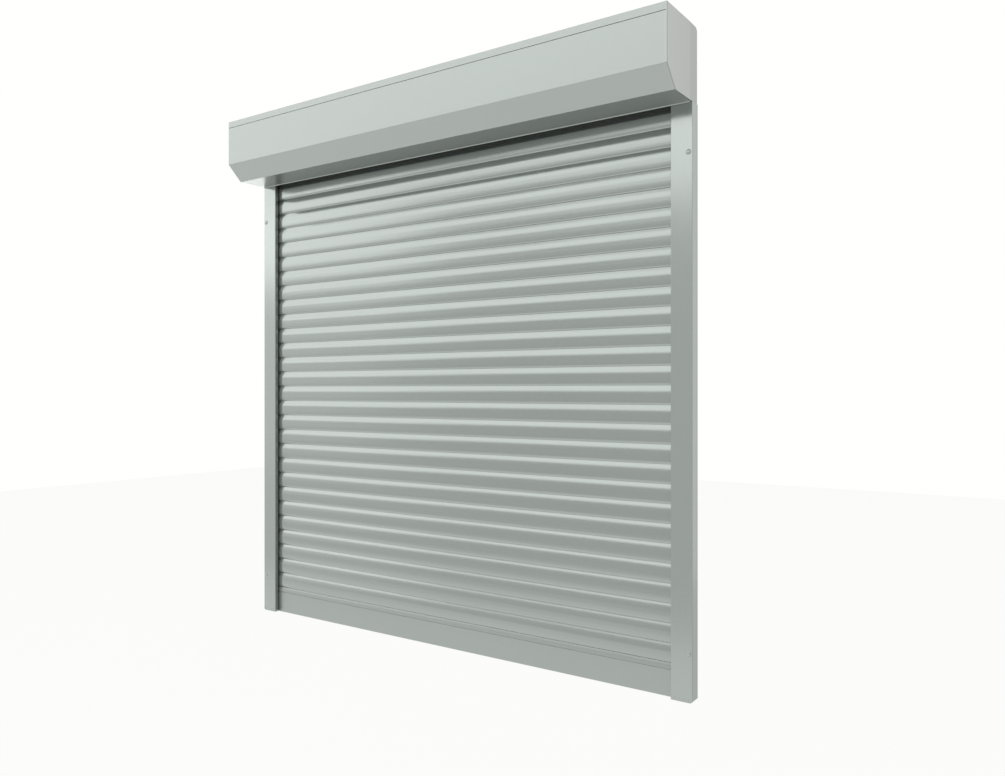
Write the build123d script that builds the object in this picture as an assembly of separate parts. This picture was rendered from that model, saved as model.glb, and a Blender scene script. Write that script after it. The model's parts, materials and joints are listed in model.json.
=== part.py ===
from build123d import *
import math
import os

# Exterior roller shutter with a box above the opening, two guide rails and a curtain of hollow slats.
# Millimetres. X runs along the width, +Y points at the wall, +Z is up.
# The origin is under the middle of the shutter, level with the rail feet.

# Overall sizes
width = 1240.0
height = 1307.0
hood_depth = 145.0
hood_height = 150.0

# Hood sheets
sheet = 1.5
hood_chamfer = 38.0
lip_height = 15.5
seam_gap = 1.2
cover_joggle = 9.0
top_corner_radius = 9.0
front_corner_radius = 1.4
fold_radius = 2.2
bead_radius = 2.2
bead_drop = 1.4
sheet_clearance = 0.3
back_flange = 2.5

# End caps
cap_plate = 3.0
cap_collar_depth = 12.0
cap_collar_wall = 2.2
cap_taper_depth = 38.0
cap_taper = 1.2
cap_skin = 0.4
cap_notch_height = 24.0
cap_boss_half = 5.0
cap_boss_inner = 4.0
cap_boss_drop = 14.0
tongue_length = 42.0
tongue_root = 4.0

# Guide rails
rail_width = 45.0
rail_depth = 27.0
rail_wall = 1.4
rail_edge_radius = 1.2
screw_chamber = 15.6
screw_axis_offset = 1.2
front_chamber = 6.5
rail_back_wall = 2.8
seal_groove = 5.5
seal_groove_rib = 1.0
seal_groove_depth = 1.8
seal_groove_inset = 3.0
foot_height = 6.5
foot_radius = 6.0
spigot_length = 16.0
spigot_floor = 1.5
spigot_wall = 1.9
brush_base = 0.8
brush_pile_half = 1.2
plug_hole_radius = 4.8
plug_head_lap = 0.6
plug_head_height = 1.2
plug_head_round = 0.8
plug_skirt = 4.5
plug_skirt_wall = 1.2
fixing_hole_radius = 2.75
lower_fixing_z = 95.5
upper_fixing_z = 1061.0

# Inlets on the rails
funnel_height = 19.0
funnel_depth = 18.0
funnel_wall = 1.8
funnel_play = 0.8
funnel_flare = 7.0
funnel_front_throat = 9.0
funnel_back_throat = 13.0
funnel_back_flare = 1.6

# Curtain
slat_pitch = 39.0
slat_thickness = 9.0
slat_wall = 0.8
slat_back_gap = 6.0
slat_insert = 20.0
end_slat_height = 66.5
end_slat_face = 53.0
end_slat_groove = 2.2
end_slat_groove_depth = 1.4
end_slat_wall = 1.6
glider_thickness = 4.0
glider_round = 1.5
glider_lift = 1.0
glider_tab = 14.0
seal_slot_depth = 5.0
seal_slot_width = 3.2
belly_relief = 0.45
belly_height = 25.0
shoulder_gap = 0.4
joint_travel = 2.0
joint_play = 0.4
hook_thickness = 1.0
catch_height = 2.0
catch_width = 0.8
catch_lap = 0.4
neck_offset = 3.8
neck_slope = 2.2
back_skirt = 1.2

# Roller, bearing and motor
roller_flats = 60.0
roller_wall = 1.0
roller_y = 3.0
roller_z_below_top = 68.0
roller_left_gap = 22.0
roller_right_gap = 32.0
seam_fold_width = 6.0
seam_fold_height = 3.0
end_plug_length = 60.0
end_plug_solid = 20.0
end_plug_flange = 3.0
end_plug_wall = 2.7
end_plug_rib = 3.0
end_plug_hub = 4.0
fit_gap = 0.05
slide_gap = 0.3
idler_pin_radius = 6.0
idler_pin_setback = 2.0
idler_pin_chamfer = 0.8
bearing_standoff = 4.0
bearing_outer_radius = 14.0
bearing_width = 8.0
bearing_ring = 2.7
ball_radius = 1.9
ball_count = 8
cage_half = 0.7
cup_wall = 3.0
cup_flange = 14.0
cup_flange_sheet = 2.5
cup_screw_ring = 8.5
motor_radius = 22.5
motor_length = 470.0
motor_round = 2.0
motor_head_radius = 25.0
motor_head_round = 1.5
motor_head_gap = 2.0
motor_shaft_radius = 6.0
setting_screw_radius = 2.2
setting_screw_spread = 8.0
setting_screw_drop = 17.0
setting_screw_depth = 4.0
lead_socket_radius = 3.0
lead_socket_depth = 9.0
crown_length = 24.0
crown_flange = 1.6
drive_wheel_length = 18.0
drive_wheel_hole = 5.5
drive_wheel_gap = 2.0
bracket_plate = 3.0
bracket_half = 34.0
bracket_round = 6.0
bracket_hole = 25.0
socket_depth = 9.0
socket_wall = 2.5
spigot_half = 7.5
cable_radius = 4.0
grommet_radius = 7.0
grommet_flange = 2.0
grommet_flange_sheet = 2.95
grommet_from_end = 60.0
grommet_below_top = 32.0

# Straps that hang the curtain from the roller
strap_width = 22.0
strap_sheet = 1.0
strap_bend = 12.0
strap_below_slat_top = 22.0
strap_above_slat_top = 12.0
strap_positions = (-450.0, -150.0, 150.0, 450.0)
clip_half = 15.0
clip_sheet = 2.0
clip_below_axis = 8.0
clip_above_axis = 11.0
clip_round = 3.0
clip_leg = 2.0
clip_leg_margin = 3.0

# Screws
screw_shank = 1.9
screw_head = 3.6
screw_length = 12.0
countersink_gap = 0.15
screw_slot = 1.0
screw_slot_depth = 0.8
pan_head = 3.4
pan_height = 2.4
pan_round = 1.2
hood_screw_setbacks = (30.0, 95.0)
soffit_screw_setback = 14.0

# How far a cut runs past the face that it opens, and how far joined shapes reach into each other
past = 1.0
lap = 0.1

# Places that follow from the sizes above
front_y = -hood_depth / 2
wall_y = hood_depth / 2
hood_bottom = height - hood_height
seam_z = height - lip_height
chamfer_z = hood_bottom + hood_chamfer
chamfer_y = front_y + hood_chamfer
rail_front_y = wall_y - rail_depth
slat_back_y = wall_y - slat_back_gap
slat_mid_y = slat_back_y - slat_thickness / 2
slat_length = width - 2 * rail_width + 2 * slat_insert
roller_z = height - roller_z_below_top
cap_inner_x = width / 2 - cap_plate
screw_axis_x = width / 2 - rail_wall - screw_chamber / 2 + screw_axis_offset
channel_front_y = rail_front_y + 2 * rail_wall + front_chamber
channel_back_y = wall_y - rail_back_wall
slat_count = math.ceil((hood_bottom - end_slat_height) / slat_pitch)
neck_y = slat_back_y - slat_thickness + neck_offset
screw_x = cap_inner_x - cap_collar_depth / 2
hood_screw_ys = [front_y + setback for setback in hood_screw_setbacks]
soffit_screw_y = rail_front_y - soffit_screw_setback
grommet_x = width / 2 - grommet_from_end
grommet_z = height - grommet_below_top
roller_left_x = -cap_inner_x + roller_left_gap
roller_right_x = cap_inner_x - roller_right_gap
bearing_x = -cap_inner_x + bearing_standoff
motor_left_x = roller_right_x - motor_length
bracket_inner_x = cap_inner_x - bracket_plate
front_lap_y = front_y + 2 * sheet + 2 * slide_gap


def side_profile(points):
    """A closed outline in the Y-Z plane, as a face at X = 0."""
    return make_face(Polyline([Vector(0, y, z) for y, z in points], close=True))


def along_x(face, x_from, x_to):
    """A Y-Z face pushed along X between two places."""
    return extrude(face.moved(Location((x_from, 0, 0))), x_to - x_from, dir=(1, 0, 0))


def block(x_range, y_range, z_range):
    """A box between two places along each axis."""
    sizes = [high - low for low, high in (x_range, y_range, z_range)]
    middle = [(low + high) / 2 for low, high in (x_range, y_range, z_range)]
    return Pos(*middle) * Box(*sizes)


def rod(radius, start, end):
    """A round bar between two points."""
    a, b = Vector(*start), Vector(*end)
    return extrude(Plane(origin=a, z_dir=(b - a).normalized()) * Circle(radius), (b - a).length)


def mirrored(shape):
    """The same piece on the other side of the shutter."""
    return mirror(shape, about=Plane.YZ)


def round_corner(outline, y, z, radius):
    """The same outline with the corner at this place rounded."""
    corner = [v for v in outline.vertices() if abs(v.Y - y) + abs(v.Z - z) < 0.01]
    return fillet(corner, radius)


# A flat drawing's X and Y laid onto the model's Y and Z
side_plane = Plane(origin=(0, 0, 0), x_dir=(0, 1, 0), z_dir=(1, 0, 0))


# Hood


def hood_back_shell():
    """The lip, top and back of the box, bent from one sheet."""
    top, back = height, wall_y
    section = side_profile(
        [
            (front_y, seam_z),
            (front_y, top),
            (back, top),
            (back, hood_bottom),
            (back - back_flange, hood_bottom),
            (back - back_flange, hood_bottom + sheet),
            (back - sheet, hood_bottom + sheet),
            (back - sheet, top - sheet),
            (front_y + sheet, top - sheet),
            (front_y + sheet, seam_z),
        ]
    )
    section = round_corner(section, back, top, top_corner_radius)
    section = round_corner(section, back - sheet, top - sheet, top_corner_radius - sheet)
    section = round_corner(section, front_y, top, front_corner_radius)
    shell = along_x(section, -cap_inner_x, cap_inner_x)
    for x in (-screw_x, screw_x):
        for y in hood_screw_ys:
            shell -= rod(screw_shank + sheet_clearance, (x, y, top - 2 * sheet), (x, y, top + past))
            shell -= countersink((x, y, top), (0, 0, 1))
    return shell - rod(grommet_radius, grommet_at(back - 2 * sheet), grommet_at(back + past))


def hood_front_cover():
    """The removable cover: front face, sloping face and soffit, with a joggle behind the lip and a bead."""
    behind_lip = front_y + sheet + sheet_clearance
    cover_top = seam_z - seam_gap
    joggle_top = seam_z + cover_joggle
    run = sheet * math.tan(math.radians(22.5))
    bead_y = rail_front_y - bead_radius
    section = side_profile(
        [
            (front_y, cover_top),
            (behind_lip, cover_top),
            (behind_lip, joggle_top),
            (behind_lip + sheet, joggle_top),
            (behind_lip + sheet, cover_top - sheet),
            (front_y + sheet, cover_top - sheet),
            (front_y + sheet, chamfer_z + run),
            (chamfer_y + run, hood_bottom + sheet),
            (bead_y, hood_bottom + sheet),
            (bead_y, hood_bottom),
            (chamfer_y, hood_bottom),
            (front_y, chamfer_z),
        ]
    )
    for y, z in ((front_y, chamfer_z), (chamfer_y, hood_bottom)):
        section = round_corner(section, y, z, fold_radius)
    for y, z in ((front_y + sheet, chamfer_z + run), (chamfer_y + run, hood_bottom + sheet)):
        section = round_corner(section, y, z, fold_radius - sheet)
    cover = along_x(section, -cap_inner_x, cap_inner_x)
    bead_z = hood_bottom + bead_radius - bead_drop
    cover += rod(bead_radius, (-cap_inner_x, bead_y, bead_z), (cap_inner_x, bead_y, bead_z))
    for x in (-screw_x, screw_x):
        y, low, high = soffit_screw_y, hood_bottom - past, hood_bottom + 2 * sheet
        cover -= rod(screw_shank + sheet_clearance, (x, y, low), (x, y, high))
        cover -= countersink((x, y, hood_bottom), (0, 0, -1))
    return cover


def countersink(at, outwards, gap=countersink_gap):
    """The cone of a countersunk head, or with a gap round it, what it takes out of a sheet."""
    depth = screw_head - screw_shank
    base = Plane(origin=Vector(*at) - Vector(*outwards) * depth, z_dir=outwards)
    return base * Pos(0, 0, depth / 2) * Cone(screw_shank + gap, screw_head + gap, depth)


def flush_screw(at, outwards):
    """A countersunk screw whose head is flush with the face at this point, with a slot across it."""
    head_end = Vector(*at) - Vector(*outwards) * (screw_head - screw_shank)
    tip = Vector(*at) - Vector(*outwards) * screw_length
    slot = Plane(origin=at, z_dir=outwards) * Box(screw_slot, screw_head, 2 * screw_slot_depth)
    return countersink(at, outwards, 0.0) + rod(screw_shank, tuple(tip), tuple(head_end)) - slot


def hood_screws():
    """Four countersunk screws that hold the top sheet to the end caps."""
    places = [(x, y, height) for x in (-screw_x, screw_x) for y in hood_screw_ys]
    return Compound(children=[flush_screw(at, (0, 0, 1)) for at in places])


def cover_screws():
    """Two countersunk screws under the soffit that release the front cover."""
    places = [(x, soffit_screw_y, hood_bottom) for x in (-screw_x, screw_x)]
    return Compound(children=[flush_screw(at, (0, 0, -1)) for at in places])


def cap_outline(inset):
    """The outline of the box's end, moved inwards by an inset."""
    run = inset * math.tan(math.radians(22.5))
    outline = side_profile(
        [
            (front_y + inset, chamfer_z + run),
            (front_y + inset, height - inset),
            (wall_y - inset, height - inset),
            (wall_y - inset, hood_bottom + inset),
            (chamfer_y + run, hood_bottom + inset),
        ]
    )
    corner = [v for v in outline.vertices() if v.Y > 0 and v.Z > hood_bottom + hood_height / 2]
    return fillet(corner, top_corner_radius - inset)


def end_cap(screw_places):
    """The right die-cast end of the box, with a collar inside the sheets and a tongue into the rail."""
    outer_x = width / 2
    cap = along_x(cap_outline(0), cap_inner_x, outer_x) - cap_taper_cut()
    outside = cap_outline(sheet + slide_gap)
    inside = cap_outline(sheet + slide_gap + cap_collar_wall)
    collar = along_x(outside - inside, cap_inner_x - cap_collar_depth, cap_inner_x)
    collar_x = (cap_inner_x - cap_collar_depth, cap_inner_x)
    lip_low = seam_z - seam_gap - sheet - slide_gap
    collar -= block(collar_x, (front_y, front_lap_y), (lip_low, seam_z + cover_joggle + slide_gap))
    bead_front = rail_front_y - 2 * bead_radius - slide_gap
    collar -= block(collar_x, (bead_front, wall_y), (hood_bottom, hood_bottom + cap_notch_height))
    top_inside = height - sheet - slide_gap
    bosses = [(y, height - cap_boss_drop, top_inside) for y in hood_screw_ys]
    bosses.append((soffit_screw_y, hood_bottom + sheet + slide_gap, hood_bottom + cap_boss_drop))
    for y, low, high in bosses:
        boss_y = (y - cap_boss_half, y + cap_boss_half)
        collar += block((screw_x - cap_boss_inner, cap_inner_x), boss_y, (low, high))
        collar -= rod(screw_shank + fit_gap, (screw_x, y, low - past), (screw_x, y, high + past))
    cap = cap + collar + cap_tongue()
    for y, z in screw_places:
        cap -= rod(screw_shank + fit_gap, (cap_inner_x - past, y, z), (outer_x - cap_skin, y, z))
    return cap


def cap_taper_cut():
    """The wedge that narrows the cap towards the wall."""
    outer_x = width / 2
    wedge = make_face(
        Polyline(
            Vector(outer_x + past, wall_y - cap_taper_depth, 0),
            Vector(outer_x, wall_y - cap_taper_depth, 0),
            Vector(outer_x - cap_taper, wall_y, 0),
            Vector(outer_x - cap_taper, wall_y + past, 0),
            Vector(outer_x + past, wall_y + past, 0),
            close=True,
        )
    )
    return extrude(wedge.moved(Location((0, 0, hood_bottom - past))), hood_height + 2 * past, dir=(0, 0, 1))


def cap_tongue():
    """The hollow tongue that stands in the rail's screw chamber, with its root on the cap."""
    outer_x = width / 2
    x_range = (outer_x - rail_wall - screw_chamber + slide_gap, outer_x - rail_wall - slide_gap)
    y_range = (rail_front_y + rail_wall + slide_gap, wall_y - rail_wall - slide_gap)
    wall = cap_collar_wall
    low = hood_bottom - tongue_length
    tongue = block(x_range, y_range, (low, hood_bottom))
    tongue -= block(
        (x_range[0] + wall, x_range[1] - wall),
        (y_range[0] + wall, y_range[1] - wall),
        (low - past, hood_bottom - wall),
    )
    root_y = (y_range[0], wall_y - back_flange - slide_gap)
    return tongue + block((x_range[0], cap_inner_x), root_y, (hood_bottom, hood_bottom + tongue_root))


# Guide rails


def rail_section():
    """The right rail seen from above: screw chamber outside, front chamber and slat channel inside."""
    outer, inner = width / 2, width / 2 - rail_width
    body = Pos((outer + inner) / 2, (rail_front_y + wall_y) / 2) * RectangleRounded(
        rail_width, rail_depth, rail_edge_radius
    )
    chamber_in = outer - rail_wall - screw_chamber
    web_in = chamber_in - rail_wall
    body -= flat_box(chamber_in, outer - rail_wall, rail_front_y + rail_wall, wall_y - rail_wall)
    body -= flat_box(inner + rail_wall, web_in, rail_front_y + rail_wall, channel_front_y - rail_wall)
    body -= flat_box(inner - past, web_in, channel_front_y, channel_back_y)
    for x in seal_rib_xs():
        body += flat_box(x, x + seal_groove_rib, channel_front_y - lap, channel_front_y + seal_groove_depth)
        body += flat_box(x, x + seal_groove_rib, channel_back_y - seal_groove_depth, channel_back_y + lap)
    return body


def flat_box(x_low, x_high, y_low, y_high):
    """A rectangle in the plan view."""
    return Pos((x_low + x_high) / 2, (y_low + y_high) / 2) * Rectangle(x_high - x_low, y_high - y_low)


def seal_rib_xs():
    """Where the two ribs that hold a brush seal start, from the mouth of the channel."""
    first = width / 2 - rail_width + seal_groove_inset
    return first, first + seal_groove_rib + seal_groove


def guide_rail_right():
    """An extruded aluminium rail with plug holes in front and fixing holes behind."""
    rail = Pos(0, 0, foot_height) * extrude(rail_section(), hood_bottom - foot_height)
    x, front_inside, back_inside = screw_axis_x, rail_front_y + 2 * rail_wall, wall_y - 2 * rail_wall
    for z in (lower_fixing_z, upper_fixing_z):
        rail -= rod(plug_hole_radius, (x, rail_front_y - past, z), (x, front_inside, z))
        rail -= rod(fixing_hole_radius, (x, back_inside, z), (x, wall_y + past, z))
    return rail


def brush_strips():
    """The two brush strips in the right rail, in front of and behind the slats."""
    first = seal_rib_xs()[0] + seal_groove_rib + fit_gap
    middle = first + seal_groove / 2 - fit_gap
    low, high = foot_height, hood_bottom
    strips = []
    for seat, tip in (
        (channel_front_y, slat_back_y - slat_thickness - slide_gap),
        (channel_back_y, slat_back_y + slide_gap),
    ):
        way = 1 if tip > seat else -1
        root = seat + way * fit_gap
        foot = flat_box(first, first + seal_groove - 2 * fit_gap, *sorted((root, root + way * brush_base)))
        tuft = flat_box(middle - brush_pile_half, middle + brush_pile_half, *sorted((root, tip)))
        strips.append(Pos(0, 0, low) * extrude(foot + tuft, high - low))
    return strips


def rail_seals():
    """Four brush strips, two in each rail."""
    right = brush_strips()
    return Compound(children=right + [mirrored(strip) for strip in right])


def rail_foot():
    """The plastic foot under the right rail, with a plug up into the screw chamber."""
    outer, inner = width / 2, width / 2 - rail_width
    plate = block((inner, outer), (rail_front_y, wall_y), (0, foot_height - fit_gap))
    corner = plate.edges().filter_by(Axis.Y).sort_by(lambda e: e.center().X - e.center().Z)[-1]
    plate = fillet(corner, foot_radius)
    web_in = outer - 2 * rail_wall - screw_chamber
    plate -= block((inner - past, web_in), (channel_front_y, channel_back_y), (-past, foot_height))
    x_range = (outer - rail_wall - screw_chamber + slide_gap, outer - rail_wall - slide_gap)
    y_range = (rail_front_y + rail_wall + slide_gap, wall_y - rail_wall - slide_gap)
    spigot = block(x_range, y_range, (foot_height - past, foot_height + spigot_length))
    spigot -= block(
        (x_range[0] + spigot_wall, x_range[1] - spigot_wall),
        (y_range[0] + spigot_wall, y_range[1] - spigot_wall),
        (foot_height + spigot_floor, foot_height + spigot_length + past),
    )
    return plate + spigot


def rail_feet():
    """The feet of both rails."""
    foot = rail_foot()
    return Compound(children=[foot, mirrored(foot)])


def rail_plugs():
    """Four push-in caps that hide the fixing screws."""
    x, front = screw_axis_x, rail_front_y
    radius = plug_hole_radius - fit_gap
    plugs = []
    for z in (lower_fixing_z, upper_fixing_z):
        head = rod(plug_hole_radius + plug_head_lap, (x, front - plug_head_height, z), (x, front, z))
        rim = head.edges().filter_by(GeomType.CIRCLE).sort_by(Axis.Y)[0]
        end = front + plug_skirt
        skirt = rod(radius, (x, front, z), (x, end, z))
        skirt -= rod(radius - plug_skirt_wall, (x, front + plug_head_lap, z), (x, end + past, z))
        plugs.append(fillet(rim, plug_head_round) + skirt)
    return Compound(children=plugs + [mirrored(plug) for plug in plugs])


def rail_funnel_right():
    """The plastic inlet that leads the slats from the roller into the right rail."""
    x_low = width / 2 - rail_width
    web = cap_inner_x - slide_gap - funnel_depth
    low, high = hood_bottom + fit_gap, hood_bottom + funnel_height
    front, back = slat_back_y - slat_thickness - funnel_play, slat_back_y + funnel_play
    funnel = along_x(funnel_lip(front, -1, funnel_front_throat, funnel_flare), x_low, web)
    funnel += along_x(funnel_lip(back, 1, funnel_back_throat, funnel_back_flare), x_low, web)
    side_y = (front - funnel_flare - funnel_wall, back + funnel_wall)
    return funnel + block((web, web + funnel_wall), side_y, (low, high))


def funnel_lip(inner_y, way, throat, flare):
    """One wall of the inlet, straight at its throat and flared above, on either side of the slats."""
    low, high = hood_bottom + fit_gap, hood_bottom + funnel_height
    bend = low + throat
    wall = way * funnel_wall
    top_y = inner_y + way * flare
    return side_profile(
        [
            (inner_y, low),
            (inner_y, bend),
            (top_y, high),
            (top_y + wall, high),
            (inner_y + wall, bend),
            (inner_y + wall, low),
        ]
    )


# Curtain


def slat_skin(low, face_height, relief, top):
    """A slat's outline without its hook: bottom, back, neck, shoulder curved back from the face, and face."""
    back, front = slat_back_y, slat_back_y - slat_thickness
    lean = 2 * math.atan(2 * relief / face_height)
    bottom = Vector(0, front + relief, low)
    face_top = bottom + Vector(0, 0, face_height)
    shoulder_top = Vector(0, neck_y, top)
    back_run = Polyline(
        bottom,
        Vector(0, back, low),
        Vector(0, back, top - neck_slope),
        Vector(0, neck_y + slat_wall, top),
        shoulder_top,
    )
    shoulder = TangentArc(face_top, shoulder_top, tangent=(0, math.sin(lean), math.cos(lean)))
    belly = Vector(0, front, low + face_height / 2)
    face = ThreePointArc(face_top, belly, bottom) if relief else Line(face_top, bottom)
    return make_face(Wire([*back_run.edges(), shoulder, face]))


def strip(y_low, y_high, z_low, z_high):
    """A rectangle in the Y-Z plane."""
    return side_profile([(y_low, z_low), (y_high, z_low), (y_high, z_high), (y_low, z_high)])


def hook_rise():
    """How far the hook reaches above the pitch line into the slat above."""
    return slat_wall + joint_travel + joint_play + catch_height + hook_thickness


def pocket_catch(bottom_z, edge):
    """The turned-in lip at a slat's bottom that catches the hook of the slat below."""
    lip_back = neck_y - joint_play
    plate = strip(edge, lip_back, bottom_z, bottom_z + slat_wall)
    return plate + strip(lip_back - catch_width, lip_back, bottom_z, bottom_z + slat_wall + catch_height)


def hook(neck_z, next_z):
    """The neck and forward-bent hook that rise into the slat above."""
    top = next_z + hook_rise()
    neck = strip(neck_y, neck_y + slat_wall, neck_z - slat_wall, top)
    front_end = neck_y - joint_play - catch_width - catch_lap
    claw = strip(front_end, neck_y + slat_wall, top - hook_thickness, top)
    return neck + claw


def slat(number):
    """One hollow slat, counted from the bottom, with its hook above and its pocket below."""
    low = end_slat_height + (number - 1) * slat_pitch
    back, front = slat_back_y, slat_back_y - slat_thickness
    neck_z = low + slat_pitch - shoulder_gap
    skin = slat_skin(low, belly_height, belly_relief, neck_z)
    inside = offset(skin, -slat_wall)
    web_z = low + hook_rise() + joint_play
    web = strip(front, back, web_z, web_z + slat_wall)
    edge = front + belly_relief
    mouth = strip(edge + slat_wall, back - slat_wall, low - past, low + 2 * slat_wall)
    section = skin - (inside - web) - mouth
    section += pocket_catch(low, edge)
    section += strip(back - slat_wall, back, low - back_skirt, low + 2 * slat_wall)
    section += hook(neck_z, low + slat_pitch)
    return along_x(section, -slat_length / 2, slat_length / 2)


def end_slat():
    """The stiff bottom bar, with a plain face, a groove line, a shoulder and a seal slot below."""
    back, front = slat_back_y, slat_back_y - slat_thickness
    neck_z = end_slat_height - shoulder_gap
    skin = slat_skin(0, end_slat_face + end_slat_groove, 0.0, neck_z)
    section = skin - offset(skin, -end_slat_wall)
    groove_top = end_slat_face + end_slat_groove
    depth, wall = end_slat_groove_depth, end_slat_wall
    section += strip(front + lap, front + depth + wall, end_slat_face - wall, groove_top + wall)
    section -= strip(front - past, front + depth, end_slat_face, groove_top)
    for z in (end_slat_face / 2, seal_slot_depth):
        section += strip(front + lap, back - lap, z, z + end_slat_wall)
    section -= strip(*seal_slot(), -past, seal_slot_depth)
    section += hook(neck_z, end_slat_height)
    return along_x(section, -slat_length / 2, slat_length / 2)


def seal_slot():
    """Where the seal's slot starts and ends across the end slat."""
    return slat_mid_y - seal_slot_width / 2, slat_mid_y + seal_slot_width / 2


def end_slat_seal():
    """The rubber strip in the underside of the end slat."""
    low, high = seal_slot()
    section = strip(low + fit_gap, high - fit_gap, 0.0, seal_slot_depth - fit_gap)
    return along_x(section, -slat_length / 2, slat_length / 2)


def end_slat_cap():
    """The plastic glider on the right end of the end slat."""
    start = slat_length / 2 + fit_gap
    front = slat_back_y - slat_thickness
    body = block((start, start + glider_thickness), (front, slat_back_y), (glider_lift, end_slat_face))
    rounded = fillet(body.edges().filter_by(Axis.X), glider_round)
    inset = end_slat_wall + slide_gap
    tab_z = (seal_slot_depth + end_slat_wall + slide_gap, end_slat_face / 2 - slide_gap)
    tab = block((start - glider_tab, start + past), (front + inset, slat_back_y - inset), tab_z)
    return rounded + tab


def end_slat_caps():
    """The gliders on both ends of the end slat."""
    cap = end_slat_cap()
    return Compound(children=[cap, mirrored(cap)])


# Roller, bearing and motor


def octagon(flats):
    """A regular eight-sided outline across the roller's axis, as a Y-Z face."""
    corner = flats / 2 / math.cos(math.pi / 8)
    return side_profile(
        [
            (
                roller_y + corner * math.cos(math.pi / 8 + k * math.pi / 4),
                roller_z + corner * math.sin(math.pi / 8 + k * math.pi / 4),
            )
            for k in range(8)
        ]
    )


def across_axis(radius, x_from, x_to):
    """A round bar on the roller's axis."""
    return rod(radius, (x_from, roller_y, roller_z), (x_to, roller_y, roller_z))


def roller_tube():
    """The eight-sided steel tube that the curtain winds on, with a folded seam along one flat."""
    tube = octagon(roller_flats) - octagon(roller_flats - 2 * roller_wall)
    low, half = roller_z - roller_flats / 2, seam_fold_width / 2
    fold = strip(roller_y - half, roller_y + half, low, low + seam_fold_height)
    inner = half - roller_wall
    groove = strip(roller_y - inner, roller_y + inner, low - past, low + seam_fold_height - roller_wall)
    return along_x(tube + fold - groove, roller_left_x, roller_right_x)


def seam_room():
    """The room that anything inside the tube leaves for the folded seam."""
    low, half = roller_z - roller_flats / 2, seam_fold_width / 2 + slide_gap
    return strip(roller_y - half, roller_y + half, low - past, low + seam_fold_height + slide_gap)


def tube_fill():
    """The section that fits inside the tube, clear of its walls and its seam."""
    return octagon(roller_flats - 2 * roller_wall - 2 * slide_gap) - seam_room()


def tube_end_plug():
    """The plastic plug in the idle end of the tube, with a flange, a hub and a rib across it."""
    start, end = roller_left_x, roller_left_x + end_plug_length
    solid_end = start + end_plug_solid
    plug = along_x(tube_fill(), start - end_plug_flange, solid_end)
    plug += along_x(octagon(roller_flats), start - end_plug_flange, start - fit_gap)
    hollow = octagon(roller_flats - 2 * (roller_wall + slide_gap + end_plug_wall))
    plug += along_x(tube_fill() - hollow, solid_end - lap, end)
    plug += across_axis(idler_pin_radius + end_plug_hub, solid_end - lap, end)
    reach = roller_flats / 2 - roller_wall - slide_gap - end_plug_wall / 2
    half = end_plug_rib / 2
    rib_y, rib_z = (roller_y - reach, roller_y + reach), (roller_z - half, roller_z + half)
    plug += block((solid_end - lap, end), rib_y, rib_z)
    return plug - across_axis(idler_pin_radius + fit_gap, start - 2 * end_plug_flange, end + past)


def idler_pin():
    """The steel pin that the idle end turns on."""
    pin = across_axis(idler_pin_radius, -cap_inner_x + idler_pin_setback, roller_left_x + end_plug_length)
    return chamfer(pin.edges().filter_by(GeomType.CIRCLE), idler_pin_chamfer)


def bearing_rings():
    """The outer and inner rings of the ball bearing, with the groove that the balls run in."""
    x_low, x_high = bearing_x, bearing_x + bearing_width
    track = (bearing_outer_radius + idler_pin_radius) / 2
    groove = Plane(origin=((x_low + x_high) / 2, roller_y, roller_z), z_dir=(1, 0, 0)) * Torus(
        track, ball_radius + 2 * fit_gap
    )
    bore = idler_pin_radius + fit_gap
    outer = across_axis(bearing_outer_radius, x_low, x_high)
    outer -= across_axis(bearing_outer_radius - bearing_ring, x_low - past, x_high + past)
    inner = across_axis(idler_pin_radius + bearing_ring, x_low, x_high)
    inner -= across_axis(bore, x_low - past, x_high + past)
    return outer - groove, inner - groove


def bearing_balls():
    """The ring of balls between the two rings, joined by their cage."""
    track = (bearing_outer_radius + idler_pin_radius) / 2
    middle = bearing_x + bearing_width / 2
    cage = across_axis(track + cage_half, middle - cage_half, middle + cage_half)
    cage -= across_axis(track - cage_half, middle - past, middle + past)
    balls = [
        Pos(
            middle,
            roller_y + track * math.cos(2 * math.pi * k / ball_count),
            roller_z + track * math.sin(2 * math.pi * k / ball_count),
        )
        * Sphere(ball_radius)
        for k in range(ball_count)
    ]
    for ball in balls:
        cage += ball
    return cage


def bearing_holder():
    """The pressed cup on the left end cap that holds the ball bearing."""
    face = -cap_inner_x
    cup = across_axis(bearing_outer_radius + cup_wall, face, bearing_x + bearing_width)
    cup += across_axis(bearing_outer_radius + cup_flange, face, face + cup_flange_sheet)
    cup -= across_axis(bearing_outer_radius + fit_gap, bearing_x, bearing_x + bearing_width + past)
    cup -= across_axis(bearing_outer_radius - bearing_ring, face - past, bearing_x + past)
    for y, z in bearing_screw_places():
        cup -= rod(screw_shank + fit_gap, (face - past, y, z), (face + 2 * cup_flange_sheet, y, z))
    return cup


def bearing_screw_places():
    """The three screws round the bearing cup."""
    reach = bearing_outer_radius + cup_screw_ring
    turns = [math.pi / 2 + 2 * math.pi * k / 3 for k in range(3)]
    return [(roller_y + reach * math.cos(a), roller_z + reach * math.sin(a)) for a in turns]


def bracket_screw_places():
    """The four screws of the motor bracket."""
    ways = (-bracket_hole, bracket_hole)
    return [(roller_y + dy, roller_z + dz) for dy in ways for dz in ways]


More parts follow.
